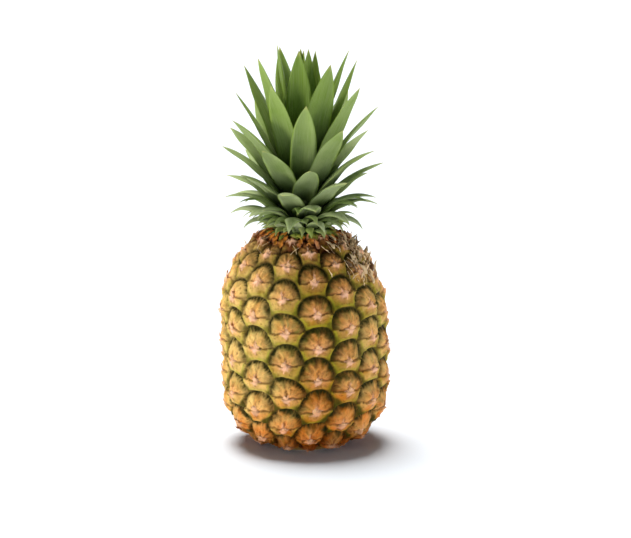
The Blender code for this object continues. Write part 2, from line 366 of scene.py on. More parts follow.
class Outline:
    """The fruit's outline from the base to the neck, measured along its own length."""

    def __init__(self):
        low_r, low_d = shoulder(BASE_RADIUS, BASE_SHOULDER - STALK_HEIGHT, BASE_ROUNDNESS)
        top_r, top_d = shoulder(NECK_RADIUS, NECK_SHOULDER, NECK_ROUNDNESS)
        self.r = np.concatenate((low_r[::-1], top_r))
        self.z = np.concatenate((BASE_SHOULDER - low_d[::-1], FRUIT_HEIGHT - NECK_SHOULDER + top_d))
        steps = np.hypot(np.diff(self.r), np.diff(self.z))
        self.s = np.concatenate(([0.0], np.cumsum(steps)))
        self.whole = self.s[-1]
        self.first = float(np.interp(EYE_HEIGHT, self.z, self.s))

    def at(self, length):
        return np.interp(length, self.s, self.r), np.interp(length, self.s, self.z)

    def facing(self, length, reach=1.0):
        r0, z0 = self.at(np.maximum(0.0, length - reach))
        r1, z1 = self.at(np.minimum(self.whole, length + reach))
        size = np.hypot(r1 - r0, z1 - z0)
        return (z1 - z0) / size, (r0 - r1) / size


OUTLINE = Outline()


def axis_offset(height):
    return NECK_OFFSET * ramp(0.35 * FRUIT_HEIGHT, FRUIT_HEIGHT, height)


def on_rind(angle, length, lift):
    """The point at this angle and length along the outline, lifted off it."""
    radius, height = OUTLINE.at(length)
    outward, upward = OUTLINE.facing(length)
    r = radius + outward * lift
    z = height + upward * lift
    return np.stack((r * np.sin(angle) + axis_offset(z), -r * np.cos(angle), z), axis=-1)


def away_from_axis(angle):
    """The way that points straight out from the axis at this angle, on the level."""
    return Vector((math.sin(angle), -math.cos(angle), 0.0))


def rind_point(angle, length, lift):
    """One point on the rind, as on_rind gives for many."""
    return Vector(on_rind(np.array([angle]), np.array([length]), lift)[0])


class Eyes:
    """Each eye's own place, size, tone, lift and crease, drawn once.

    An eye's number is its height in sixteenths of a row.
    """

    LOWEST = -100
    COUNT = 260

    def __init__(self):
        draw = np.random.default_rng(EYE_SEED)
        self.shift = draw.uniform(-EYE_SHIFT, EYE_SHIFT, (self.COUNT, 2))
        self.size = draw.uniform(*EYE_SIZES, (self.COUNT, 2))
        self.tone = draw.uniform(0.0, 1.0, self.COUNT)
        self.warm = draw.uniform(0.0, 1.0, self.COUNT)
        self.lift = draw.uniform(*EYE_LIFTS, self.COUNT)
        self.turn = draw.uniform(0.0, 2 * math.pi, self.COUNT)
        self.rise = draw.uniform(-0.01, 0.05, self.COUNT)
        self.droop = draw.uniform(-0.05, 0.07, self.COUNT)
        self.slant = draw.uniform(-0.09, 0.09, self.COUNT)

    def index(self, row):
        return np.clip(np.round(row * EYE_COLUMNS).astype(int) - self.LOWEST, 0, self.COUNT - 1)

    def crease(self, eye, a):
        """How far the crease lies above the eye's middle: it rises there, droops and waves a little."""
        middle = self.rise[eye] * np.exp(-((a / 0.13) ** 2))
        wave = 0.018 * np.sin(a * 17 + self.turn[eye])
        return middle + self.droop[eye] * np.abs(a) + self.slant[eye] * a + wave


EYES = Eyes()


def nearest_eyes(across, up):
    """For each point, the eye whose dome it lies in or beside, and the eye whose bract it would lie on."""
    shape = across.shape
    dome = {"fit": np.full(shape, 99.0)}
    bract = {"fit": np.full(shape, 99.0)}
    for best in (dome, bract):
        best["a"] = np.zeros(shape)
        best["u"] = np.zeros(shape)
        best["eye"] = np.zeros(shape, int)
    base_column = np.floor(across)
    for step in (-1, 0, 1, 2):
        column = base_column + step
        first = column * EYE_STEP
        nearest = first + np.round(up - first)
        for extra in (-1, 0, 1):
            row = nearest + extra
            eye = EYES.index(row)
            a = (across - column - EYES.shift[eye, 0]) / EYES.size[eye, 0]
            u = (up - row - EYES.shift[eye, 1]) / EYES.size[eye, 1]
            wide = (np.abs(a) / ARCH_WIDTH) ** ARCH_SQUARENESS
            tall = (np.abs(u) / ARCH_HEIGHT) ** ARCH_SQUARENESS
            arch = (wide + tall) ** (1.0 / ARCH_SQUARENESS)
            arch = arch * (1.0 + EYE_SWELL * np.sin(3.0 * np.arctan2(u, a) + EYES.turn[eye]))
            drop = np.hypot(a / BRACT_WIDTH, u / BRACT_DEPTH)
            u = u - EYES.crease(eye, a)
            above = np.where(u > -CREASE_BLEND, arch, 50.0)
            below = np.where(u < CREASE_BLEND, drop, 50.0)
            for best, fit in ((dome, above), (bract, below)):
                better = fit < best["fit"]
                best["fit"] = np.where(better, fit, best["fit"])
                best["a"] = np.where(better, a, best["a"])
                best["u"] = np.where(better, u, best["u"])
                best["eye"] = np.where(better, eye, best["eye"])
    return dome, bract


def star(eye, x, y):
    """The dry papery star below an eye's crease, a knob with a few rays.

    x and y are millimetres from its middle.
    """
    shape = 1.0 - ramp(0.45, 1.0, np.hypot(x / KNOB_WIDTH, y / KNOB_HEIGHT))
    for number, (angle, reach) in enumerate(STAR_RAYS):
        way = math.radians(angle) + 0.30 * np.sin(EYES.turn[eye] * (number + 1))
        along = x * np.cos(way) + y * np.sin(way)
        off = np.abs(y * np.cos(way) - x * np.sin(way))
        length = reach * (0.65 + 0.45 * np.sin(EYES.turn[eye] * (number + 2)) ** 2)
        half = 0.25 + 1.0 * np.clip(1.0 - along / length, 0, 1)
        ray = (1.0 - ramp(0.35, 1.0, off / half)) * ramp(-0.5, 0.5, along)
        ray = ray * (1.0 - ramp(0.75, 1.0, along / length))
        shape = np.maximum(shape, 0.9 * ray)
    return shape


def rind_shape(across, up, points, column_width):
    """How far the rind stands out, and the masks that colour it."""
    dome, bract = nearest_eyes(across, up)
    height = points[:, 2]
    blotch = waves(points, BLOTCH_SIZE, BLOTCH_SEED)
    low = 1.0 - ramp(*LOW_HEIGHTS, height + 8.0 * waves(points, 20.0, BLOTCH_SEED + 1))

    # The dome
    fit = dome["fit"]
    rho = np.minimum(fit, 1.0)
    a = dome["a"]
    u = dome["u"]
    inside = (1.0 - ramp(0.97, 1.04, fit)) * ramp(-CREASE_BLEND, 0.6 * CREASE_BLEND, u)
    turn = EYES.turn[dome["eye"]]
    spoke = np.arctan2(np.maximum(u, 0.0) + 0.05, a) + 0.10 * blotch
    wrinkle = np.sin(spoke * WRINKLES + turn) * rho * (1.0 - rho)
    folds = np.sin(spoke * FOLDS + turn * 2) * rho * (1.0 - rho)
    scallop = np.sin(spoke * SCALLOPS + turn * 3) * ramp(0.55, 0.95, rho)
    slit = hump(0.0, 0.06, a + 0.02 * np.sin(u * 40)) * (1.0 - ramp(0.14, 0.34, u)) * ramp(0.0, 0.05, u)
    ends = 1.0 - ramp(0.30, 0.56, np.abs(a))
    crease = (1.0 - ramp(0.0, 0.040, u)) * ends
    upper_lip = hump(0.10, 0.07, u) * ends
    high = DOME_LIFT + EYES.lift[dome["eye"]]
    dome_lift = -GROOVE_DEPTH + (high + GROOVE_DEPTH) * (1.0 - rho**2.3)
    dome_lift += WRINKLE_LIFT * wrinkle + FOLD_LIFT * folds + SCALLOP_LIFT * scallop
    dome_lift += UPPER_LIP_LIFT * upper_lip - SLIT_DEPTH * slit - CREASE_DEPTH * crease
    heart = 1.0 - ramp(*HEART_RANGE, rho + 0.14 * blotch + 0.7 * wrinkle)
    heart = heart * (1.0 - 0.5 * ramp(0.10, 0.42, np.abs(a + 0.04 * blotch)))
    rim = ramp(*RIM_RANGE, rho + 0.09 * blotch + 0.07 * scallop) * (0.50 + 0.50 * ramp(0.0, 0.30, u))

    # The bract below it
    x = bract["a"]
    depth = -bract["u"]
    from_dome = ramp(1.0, 1.45, fit)
    outward = np.abs(x) / BRACT_REACH_ASIDE + np.maximum(depth, 0.0) / BRACT_REACH_DOWN
    edge = ramp(0.20, 1.30, outward)
    shade = 1.0 - ramp(1.0, 1.07, fit)
    keel = hump(0.0, 0.13, x) * hump(0.20, 0.17, depth)
    lower_lip = hump(0.04, 0.07, depth) * (1.0 - ramp(0.40, 0.58, np.abs(x)))
    ribs = np.sin(x / (0.30 + np.maximum(depth, 0.0)) * RIBS + EYES.turn[bract["eye"]])
    top = DOME_LIFT + EYES.lift[bract["eye"]] + 0.4
    bract_lift = MARGIN_LIFT + (top - MARGIN_LIFT) * (1.0 - edge) * (0.3 + 0.7 * from_dome)
    bract_lift += LOWER_LIP_LIFT * lower_lip + KEEL_LIFT * keel - SHADE_DEPTH * shade
    bract_lift += RIB_LIFT * ribs * (1.0 - edge) + OUTER_EDGE_LIFT * hump(1.12, 0.10, fit)
    bract_lift -= GAP_DEPTH * ramp(1.05, 1.5, outward)
    gap = ramp(1.10 - 0.28 * low, 1.42 - 0.30 * low, outward + 0.08 * blotch) * (0.60 + 0.40 * low)
    vivid = 0.30 + 0.70 * EYES.tone[bract["eye"]]

    # Both together
    outside = 1.0 - inside
    eye = np.where(inside > 0.5, dome["eye"], bract["eye"])
    a = np.where(inside > 0.5, a, x)
    u = np.where(inside > 0.5, u, -depth)
    paper = star(eye, a * column_width, u * EYE_ROW + STAR_DROP)
    lift = dome_lift * inside + bract_lift * outside + STAR_LIFT * paper
    for size, rise, seed in RIND_NOISE:
        lift += rise * waves(points, size, seed)
    masks = {
        "dome": inside,
        "heart": inside * heart,
        # the dome's dark rim is partly its own colour and partly painted shade; the thin dark line just
        # outside the dome is painted shade under the bract's edge
        "rim_and_groove_shade": inside * rim + outside * 0.75 * shade,
        # the slit is the eye's own dark red; the crease's dark line is painted shade in the fold
        "slit": inside * np.clip(0.6 * slit + 0.7 * crease, 0, 1),
        # the lips' cream colour together with a painted highlight on them
        "lip_and_highlight": inside * upper_lip + outside * lower_lip,
        "margin": outside * hump(1.11, 0.10, fit) * vivid * (1.0 - 0.5 * low),
        "olive": outside * ramp(0.66, 1.22, outward + 0.14 * blotch),
        "valley": outside * gap,
        "keel": outside * keel,
        "blush": np.exp(-((a / 0.27) ** 2) - ((u + 0.03) / 0.20) ** 2) * (1.0 - 0.35 * low),
        "paper": paper * (1.0 - 0.45 * low),
        "tone": EYES.tone[eye],
        "warm": EYES.warm[eye],
        "low": low,
        # painted shade: darker towards the base, where the rind stands in shade
        "foot": 1.0 - ramp(*FOOT_SHADE_HEIGHTS, height + 3.0 * blotch),
        "brow": ramp(*BROW_HEIGHTS, height + 6.0 * blotch),
        # painted shade at the neck, in the gaps between the ruff's bracts
        "neck": ramp(*NECK_SHADE_HEIGHTS, height + 2.0 * blotch),
        "spokes": 0.5 + inside * 1.4 * wrinkle + outside * 0.28 * ribs * (1.0 - edge),
    }
    return lift, masks


def mesh_object(name, points, faces, look, smooth=True):
    """Makes an object from points in millimetres."""
    data = bpy.data.meshes.new(name)
    data.from_pydata((np.asarray(points) * MM).tolist(), [], faces)
    data.materials.append(look)
    data.validate()
    if smooth:
        data.shade_smooth()
    made = bpy.data.objects.new(name, data)
    bpy.context.scene.collection.objects.link(made)
    return made


def give(made, masks):
    """Writes a number for each point of the mesh under each name, for the material to read."""
    for name, values in masks.items():
        layer = made.data.attributes.new(name, "FLOAT", "POINT")
        layer.data.foreach_set("value", np.asarray(values, np.float32))


def place(made, node):
    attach(made, "root")
    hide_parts(node)


class Look:
    """A material built up in layers: each layer mixes one colour over the last, by a mask."""

    def __init__(self, name, colour, roughness):
        self.made = bpy.data.materials.new(name)
        self.made.use_nodes = True
        self.tree = self.made.node_tree
        self.shader = self.tree.nodes["Principled BSDF"]
        self.shader.inputs["Roughness"].default_value = roughness
        start = self.tree.nodes.new("ShaderNodeRGB")
        start.outputs[0].default_value = (*screen(colour), 1.0)
        self.colour = start.outputs[0]

    def mask(self, name):
        node = self.tree.nodes.new("ShaderNodeAttribute")
        node.attribute_name = name
        return node.outputs["Fac"]

    def noise(self, scale, low=0.35, high=0.65, stretch=None, vector=None):
        coords = vector or self.tree.nodes.new("ShaderNodeTexCoord").outputs["Object"]
        if stretch:
            mapping = self.tree.nodes.new("ShaderNodeMapping")
            mapping.inputs["Scale"].default_value = stretch
            self.tree.links.new(coords, mapping.inputs["Vector"])
            coords = mapping.outputs["Vector"]
        node = self.tree.nodes.new("ShaderNodeTexNoise")
        node.inputs["Scale"].default_value = scale
        node.inputs["Detail"].default_value = NOISE_DETAIL
        self.tree.links.new(coords, node.inputs["Vector"])
        return self.between(node.outputs["Fac"], low, high)

    def between(self, value, low, high):
        node = self.tree.nodes.new("ShaderNodeMapRange")
        node.interpolation_type = "SMOOTHSTEP"
        node.inputs["From Min"].default_value = low
        node.inputs["From Max"].default_value = high
        self.tree.links.new(value, node.inputs["Value"])
        return node.outputs["Result"]

    def maths(self, kind, first, second):
        node = self.tree.nodes.new("ShaderNodeMath")
        node.operation = kind
        for socket, value in zip(node.inputs, (first, second)):
            if isinstance(value, (int, float)):
                socket.default_value = value
            else:
                self.tree.links.new(value, socket)
        return node.outputs[0]

    def layer(self, colour, *factors):
        amount = factors[0]
        for factor in factors[1:]:
            amount = self.maths("MULTIPLY", amount, factor)
        node = self.tree.nodes.new("ShaderNodeMix")
        node.data_type = "RGBA"
        sockets = [s for s in node.inputs if s.type == "RGBA"]
        sockets[1].default_value = (*screen(colour), 1.0)
        self.tree.links.new(self.colour, sockets[0])
        self.tree.links.new(amount, node.inputs[0])
        self.colour = [s for s in node.outputs if s.type == "RGBA"][0]

    def inverse(self, value):
        return self.maths("SUBTRACT", 1.0, value)

    def streaks(self, across, along):
        """Noise drawn out into streaks that run along each blade."""
        blade = self.tree.nodes.new("ShaderNodeAttribute")
        blade.attribute_name = "blade"
        return self.noise(1.0, 0.3, 0.7, stretch=(across, along, 1.0), vector=blade.outputs["Vector"])

    def finish(self, bump, distance, strength=0.6):
        node = self.tree.nodes.new("ShaderNodeBump")
        node.inputs["Strength"].default_value = strength
        node.inputs["Distance"].default_value = distance * MM
        self.tree.links.new(bump, node.inputs["Height"])
        self.tree.links.new(node.outputs["Normal"], self.shader.inputs["Normal"])
        self.tree.links.new(self.colour, self.shader.inputs["Base Color"])
        return self.made


def rind_look():
    look = Look("rind_look", BRACT_GOLD, 0.6)
    look.shader.inputs["Specular IOR Level"].default_value = 0.05
    spokes = look.mask("spokes")
    worked = {
        # a painted highlight on the ridges and painted shade in the furrows
        "ridge": look.between(spokes, *SPOKE_RANGE),
        "furrow": look.between(look.inverse(spokes), *SPOKE_RANGE),
    }
    for colour, masks, noise, strength in RIND_LAYERS:
        factors = [worked[name] if name in worked else look.mask(name) for name in masks]
        if noise:
            factors.append(look.noise(*noise))
        look.layer(colour, *factors, strength)
    fine = look.maths("ADD", look.noise(520, 0.2, 0.8), look.maths("MULTIPLY", spokes, 1.2))
    return look.finish(fine, 0.4)


def lattice(angle, length, bare):
    """A point's place in columns and rows of eyes: the columns lean at the base and wander a little."""
    sway = WANDER * waves(bare, WANDER_SIZE, 41) + BASE_LEAN * (1.0 - ramp(*LEAN_HEIGHTS, bare[:, 2]))
    rise = WANDER * waves(bare, WANDER_SIZE, 42)
    column = (angle - EYE_ANGLE) * EYE_COLUMNS / (2 * math.pi)
    return column + sway, (length - OUTLINE.first) / EYE_ROW + rise


def rind():
    sides = RIND_SIDES
    turn = 2 * math.pi * np.arange(sides) / sides
    lengths = OUTLINE.whole * np.arange(RIND_ROWS + 1) / RIND_ROWS
    angle, length = (grid.ravel() for grid in np.meshgrid(turn, lengths))
    bare = on_rind(angle, length, 0.0)
    across, up = lattice(angle, length, bare)
    lift, masks = rind_shape(across, up, bare, 2 * math.pi * OUTLINE.at(length)[0] / EYE_COLUMNS)
    fade = ramp(0.0, BASE_FADE, length) * ramp(0.0, NECK_FADE, OUTLINE.whole - length)
    points = on_rind(angle, length, lift * fade)
    points[:, 2] = np.maximum(points[:, 2], CLEAR)
    # the flanks' masks, for the painted light on the sides
    for name, side, flank in (("left", -1, LEFT_LIT_FLANK), ("right", 1, RIGHT_LIT_FLANK)):
        masks[name] = ramp(*flank[0], side * points[:, 0]) * ramp(*flank[1], points[:, 2])
    masks["stalk"] = np.zeros(len(points))
    radii = [STALK_RADIUS * share for share in STALK_RINGS]
    disc = [np.stack((r * np.sin(turn), -r * np.cos(turn), np.zeros(sides)), axis=-1) for r in radii]
    extra = np.concatenate([np.zeros((1, 3))] + disc + [np.array([[NECK_OFFSET, 0.0, FRUIT_HEIGHT]])])
    start = len(points)
    points = np.concatenate((points, extra))
    for name, values in masks.items():
        masks[name] = np.concatenate((values, np.full(len(extra), 1.0 if name == "stalk" else 0.0)))
    faces = []
    for row in range(RIND_ROWS):
        for side in range(sides):
            after = (side + 1) % sides
            low, high = row * sides, (row + 1) * sides
            faces.append((low + side, low + after, high + after, high + side))
    first_ring = start + 1
    last_ring = first_ring + (len(STALK_RINGS) - 1) * sides
    top = RIND_ROWS * sides
    for side in range(sides):
        after = (side + 1) % sides
        faces.append((start, first_ring + after, first_ring + side))
        for inner in range(first_ring, last_ring, sides):
            outer = inner + sides
            faces.append((inner + side, inner + after, outer + after, outer + side))
        faces.append((last_ring + side, last_ring + after, after, side))
        faces.append((top + side, top + after, start + len(extra) - 1))
    made = mesh_object("rind", points, faces, rind_look())
    give(made, masks)
    place(made, "fruit")


def stage_at(share):
    for low, high in zip(LEAF_STAGES, LEAF_STAGES[1:]):
        if share <= high[0]:
            part = (share - low[0]) / (high[0] - low[0])
            return [a + (b - a) * part for a, b in zip(low[1:], high[1:])]


def leaf_width(share, fullness):
    """A leaf's width along it: fullness is low for a long thin tip and high for a broad rounded one."""
    if share < LEAF_WIDEST:
        return LEAF_FOOT + (1.0 - LEAF_FOOT) * math.sin(math.pi / 2 * share / LEAF_WIDEST)
    return max(0.0, 1.0 - ((share - LEAF_WIDEST) / (1.0 - LEAF_WIDEST)) ** fullness)


class Blades:
    """Many leaves or bracts gathered into one mesh, each a thin curved solid."""

    def __init__(self):
        self.points = []
        self.faces = []
        self.uv = []
        self.masks = {"along": [], "edge": [], "tone": [], "age": [], "dry": []}

    def add(
        self, foot, out, length, width, slopes, lean=0.0, cup=LEAF_CUP, thick=1.7, tone=0.5, age=0.5,
        dry=0.0, wave=0.0, across=LEAF_ACROSS, steps=LEAF_STEPS, phase=0.0, bend=0.0, fullness=2.1,
    ):
        """Adds one blade that grows from foot, the way that out points on the level.

        slopes are its climbs at the foot and at the tip in degrees.
        """
        aside = Vector((-out.y, out.x, 0.0))
        point = foot.copy()
        start = len(self.points)
        for step in range(steps + 1):
            share = step / steps
            climb = math.radians(slopes[0] + (slopes[1] - slopes[0]) * share**1.4)
            along = out * math.cos(climb) + Vector((0, 0, math.sin(climb)))
            twist = lean * share
            side = (aside * math.cos(twist) + along.cross(aside) * math.sin(twist)).normalized()
            inward = side.cross(along).normalized()
            half = max(width * leaf_width(share, fullness) / 2, 0.12)
            skin = max(thick * (1.0 - 0.75 * share) / 2, 0.12)
            bow = aside * (bend * share**2)
            for face in (1, -1):
                for place_across in range(across):
                    x = 2 * place_across / (across - 1) - 1
                    ripple = wave * half * x * x * math.sin(share * 13 + phase + (2.0 if x > 0 else 0.0))
                    body = skin * (1.0 - 0.85 * x**4)
                    deep = cup * half * x * x + ripple + face * body
                    self.points.append(point + side * (half * x) + inward * deep + bow)
                    self.uv.append((half * x, share * length))
                    for name, value in zip(self.masks, (share, abs(x), tone, age, dry)):
                        self.masks[name].append(value)
            ahead = math.radians(slopes[0] + (slopes[1] - slopes[0]) * ((step + 0.5) / steps) ** 1.4)
            point = point + (out * math.cos(ahead) + Vector((0, 0, math.sin(ahead)))) * (length / steps)
        ring = [start + i for i in range(across)] + [start + across + i for i in reversed(range(across))]
        count = len(ring)
        for step in range(steps):
            low, high = step * 2 * across, (step + 1) * 2 * across
            for i in range(count):
                j = (i + 1) % count
                self.faces.append((ring[i] + low, ring[j] + low, ring[j] + high, ring[i] + high))
        self.faces.append([r for r in reversed(ring)])
        self.faces.append([r + steps * 2 * across for r in ring])

    def build(self, name, look):
        made = mesh_object(name, np.array(self.points), self.faces, look)
        give(made, self.masks)
        layer = made.data.attributes.new("blade", "FLOAT_VECTOR", "POINT")
        flat = np.array([(u, v, 0.0) for u, v in self.uv], np.float32).ravel()
        layer.data.foreach_set("vector", flat)
        return made


def leaf_look():
    look = Look("leaf_look", LEAF_GREEN, 0.45)
    look.shader.inputs["Specular IOR Level"].default_value = 0.25
    lines = look.streaks(2.6, 0.05)
    along = look.mask("along")
    look.layer(LEAF_BRIGHT, look.between(along, 0.25, 1.0), look.mask("tone"))
    look.layer(LEAF_BLOOM, look.mask("age"), look.between(along, 0.02, 0.40), look.noise(60, 0.0, 0.6))
    look.layer(LEAF_BLOOM, lines, 0.20)
    # painted shade: each leaf darkened towards its foot, where the crowded leaves shade it
    look.layer(LEAF_FOOT_SHADE, look.inverse(look.between(along, 0.0, 0.38)), 0.9)
    look.layer(LEAF_BRIGHT, look.between(look.mask("edge"), 0.86, 1.0), 0.5)
    look.layer(LEAF_DRY, look.mask("dry"), look.between(along, 0.15, 0.8))
    look.layer(LEAF_TIP_TAN, look.between(along, 0.93, 1.0), 0.7)
    return look.finish(lines, 0.25, 0.5)


def crown():
    draw = random.Random(LEAF_SEED)
    own = random.Random(LEAF_SEED + 100)
    blades = Blades()
    for index in range(LEAF_COUNT):
        share = index / (LEAF_COUNT - 1)
        height, distance, length, width, foot_slope, tip_slope = stage_at(share)
        angle = LEAF_FIRST_ANGLE + index * LEAF_TURN
        angle += math.radians(draw.uniform(-ANGLE_SPREAD, ANGLE_SPREAD))
        length *= draw.uniform(*LENGTH_RANGE)
        foot_slope += draw.uniform(-FOOT_CLIMB_SPREAD, FOOT_CLIMB_SPREAD)
        tip_slope += draw.uniform(-TIP_CLIMB_SPREAD, TIP_CLIMB_SPREAD)
        lean = math.radians(draw.uniform(-LEAN_SPREAD, LEAN_SPREAD))
        out = away_from_axis(angle)
        foot = out * distance + Vector((NECK_OFFSET, 0.0, FRUIT_HEIGHT + height))
        age = min(1.0, max(0.0, 1.25 - 1.35 * share)) * own.uniform(0.85, 1.0)
        fullness = TIP_THIN + (TIP_FULL - TIP_THIN) * float(ramp(THIN_UNTIL, FULL_FROM, share))
        blades.add(
            foot, out, length, width, (foot_slope, tip_slope), lean, tone=own.uniform(0.4, 1.0), age=age,
            wave=0.05, phase=own.uniform(0, 6), fullness=fullness,
        )
    for count, height, distance, length, width, foot_slope, tip_slope, dry in FOOT_RINGS:
        for index in range(count):
            angle = 2 * math.pi * (index + own.uniform(-0.35, 0.35)) / count
            out = away_from_axis(angle)
            foot_height = FRUIT_HEIGHT + height + own.uniform(-0.8, 1.5)
            foot = out * distance + Vector((NECK_OFFSET, 0.0, foot_height))
            slopes = (foot_slope + own.uniform(-8, 8), tip_slope + own.uniform(-22, 22))
            lean = math.radians(own.uniform(-25, 25))
            blades.add(
                foot, out, length * own.uniform(0.75, 1.2), width * own.uniform(0.7, 1.1), slopes, lean,
                tone=own.uniform(0.0, 0.6), age=own.uniform(0.2, 0.8) * (1.0 - dry),
                dry=dry * own.uniform(0.4, 1.0), wave=0.12, phase=own.uniform(0, 6),
                fullness=own.uniform(1.2, 1.7), bend=own.uniform(-4, 4), across=7, steps=14,
            )
    made = blades.build("crown_leaves", leaf_look())
    place(made, "crown")


def crown_core():
    """The core that the leaves grow from, seen in the gaps between the lowest ones."""
    shares = np.array([share for _, share in CORE_OUTLINE])
    widths = np.array([width for width, _ in CORE_OUTLINE])
    rows, sides = CORE_ROWS, CORE_SIDES
    turn = 2 * math.pi * np.arange(sides) / sides
    points = []
    for row in range(rows + 1):
        share = row / rows
        radius = (STEM_RADIUS - 1.0) * np.interp(share, shares, widths)
        z = FRUIT_HEIGHT + CLEAR + share * STEM_HEIGHT
        reach = radius + CORE_RIPPLE * np.sin(turn * 13 + share * 40) * math.sin(math.pi * share)
        ring = (NECK_OFFSET + reach * np.sin(turn), -reach * np.cos(turn), np.full(sides, z))
        points.append(np.stack(ring, axis=-1))
    faces = []
    for row in range(rows):
        for side in range(sides):
            after = (side + 1) % sides
            low, high = row * sides, (row + 1) * sides
            faces.append((low + side, low + after, high + after, high + side))
    faces.append(tuple(range(sides))[::-1])
    faces.append(tuple(rows * sides + side for side in range(sides)))
    look = Look("core_look", CORE_GREEN, 0.7)
    finished = look.finish(look.noise(400, 0.2, 0.8), 0.4)
    made = mesh_object("crown_core", np.concatenate(points), faces, finished)
    place(made, "crown")


def eye_places():
    """The angle, length and number of each eye's middle on the rind, with the lattice's wander undone."""
    found = []
    for number in range(-90, 110):
        column = (number * pow(9, -1, EYE_COLUMNS)) % EYE_COLUMNS
        row = number / EYE_COLUMNS
        angle = EYE_ANGLE + column * 2 * math.pi / EYE_COLUMNS
        length = OUTLINE.first + row * EYE_ROW
        if not 4.0 < length < OUTLINE.whole - 3.0:
            continue
        eye = int(EYES.index(np.array(row)))
        for _ in range(4):
            bare = on_rind(np.array([angle]), np.array([length]), 0.0)
            across, up = lattice(np.array([angle]), np.array([length]), bare)
            angle -= (float(across[0]) - column - EYES.shift[eye, 0]) * 2 * math.pi / EYE_COLUMNS
            length -= (float(up[0]) - row - EYES.shift[eye, 1]) * EYE_ROW
        found.append((angle, length, eye))
    return found


def climb_at(length):
    """How steeply the rind climbs, in degrees: 90 at the waist, more where it leans in to the neck."""
    outward, upward = (float(v) for v in OUTLINE.facing(np.array(length)))
    return math.degrees(math.atan2(outward, -upward))


def papery_tips():
    """The dry pale point over each eye's crease. Some have a long hair as well."""
    own = random.Random(EYE_SEED + 1)
    tips = Blades()
    for angle, length, eye in eye_places():
        leftward = max(0.0, -math.sin(angle))
        size = own.choice(TIP_SIZES) * (1.0 + 0.9 * leftward * own.uniform(0.3, 1.0))
        scale = min(1.0, 0.45 + 0.55 * min(length, OUTLINE.whole - length) / 40.0)
        aim = angle + math.radians(own.uniform(-1.2, 1.2))
        place_length = length - EYE_ROW * 0.07 * scale
        lift = BRACT_LIFT + float(EYES.lift[eye]) - 0.2
        foot = rind_point(aim, place_length, lift)
        out = away_from_axis(aim)
        climb = climb_at(place_length)
        slopes = (climb - own.uniform(16, 34), climb + own.uniform(4, 20))
        lean = math.radians(own.uniform(-35, 35))
        shape = {"lean": lean, "phase": own.uniform(0, 6), "tone": own.random()}
        reach = TIP_REACH * size * scale
        tips.add(
            foot, out, reach, TIP_WIDTH * scale, slopes, cup=-0.35, thick=0.45, age=0.0, wave=0.30,
            across=7, steps=10, bend=own.uniform(-0.8, 0.8), **shape,
        )
        for sign in (-1, 1):
            side = foot + Vector((-out.y, out.x, 0.0)) * sign * 1.1
            side_slopes = (slopes[0] + 6, slopes[1])
            tips.add(
                side, out, reach * own.uniform(0.5, 0.8), 1.7 * scale, side_slopes, cup=-0.2, thick=0.35,
                age=0.2, wave=0.2, across=5, steps=6, bend=sign * own.uniform(0.8, 2.6), **shape,
            )
        if own.random() < HAIR_SHARE:
            hair = own.uniform(5, 10) * scale
            hair_slopes = (climb - 10, climb - own.uniform(0, 10))
            tips.add(
                foot + out * 0.2, out, hair, 0.7, hair_slopes, thick=0.3, age=1.0, across=3, steps=8,
                bend=own.uniform(-3, 3), **shape,
            )
    look = Look("paper_look", PAPER_PINK, 0.6)
    look.shader.inputs["Specular IOR Level"].default_value = 0.2
    ribs = look.streaks(2.2, 0.12)
    look.layer(BRACT_CREAM, ribs, 0.7)
    look.layer(PAPER_BROWN, look.between(look.mask("along"), 0.55, 1.0), look.mask("tone"), 0.6)
    look.layer(PAPER_BROWN, look.mask("age"), 0.5)
    look.layer(BRACT_GOLD, look.inverse(look.between(look.mask("along"), 0.0, 0.25)), 0.7)
    made = tips.build("bract_tips", look.finish(ribs, 0.3))
    place(made, "fruit")


def neck_ruff():
    """Small rust-coloured bracts that stand round the foot of the crown, in three uneven rows."""
    own = random.Random(EYE_SEED + 2)
    ruff = Blades()
    for count, back, reach, width in RUFF_ROWS:
        for index in range(count):
            angle = 2 * math.pi * (index + own.uniform(-0.3, 0.3)) / count
            length = OUTLINE.whole - back + own.uniform(-1.8, 1.8)
            foot = rind_point(angle, length, 0.4)
            out = away_from_axis(angle)
            climb = climb_at(length)
            slopes = (climb - own.uniform(12, 30), climb + own.uniform(-10, 22))
            ruff.add(
                foot, out, reach * own.uniform(0.6, 1.25), width * own.uniform(0.6, 1.1), slopes,
                lean=math.radians(own.uniform(-30, 30)), cup=own.uniform(0.2, 0.5), thick=0.6,
                tone=own.random(), age=own.random(), wave=0.25, across=7, steps=9,
                phase=own.uniform(0, 6), bend=own.uniform(-2.0, 2.0),
            )
    look = Look("ruff_look", RUFF_RUST, 0.6)
    ribs = look.streaks(1.8, 0.10)
    look.layer(RUFF_STRAW, look.mask("tone"), ribs)
    look.layer(PAPER_PINK, look.between(look.mask("age"), 0.55, 0.95), ribs, 0.7)
    look.layer(BRACT_OLIVE, look.inverse(look.mask("age")), look.noise(120), 0.4)
    # painted shade: each bract darkened along its edges and at its foot, for the shade in the gaps between
    # them and where they meet the rind
    look.layer(NECK_SHADE, look.between(look.mask("edge"), 0.50, 1.0), 0.75)
    look.layer(NECK_SHADE, look.inverse(look.between(look.mask("along"), 0.0, 0.4)), 0.5)
    look.layer(RUFF_STRAW, look.between(look.mask("along"), 0.8, 1.0), 0.35)
    made = ruff.build("neck_ruff", look.finish(ribs, 0.3))
    place(made, "fruit")


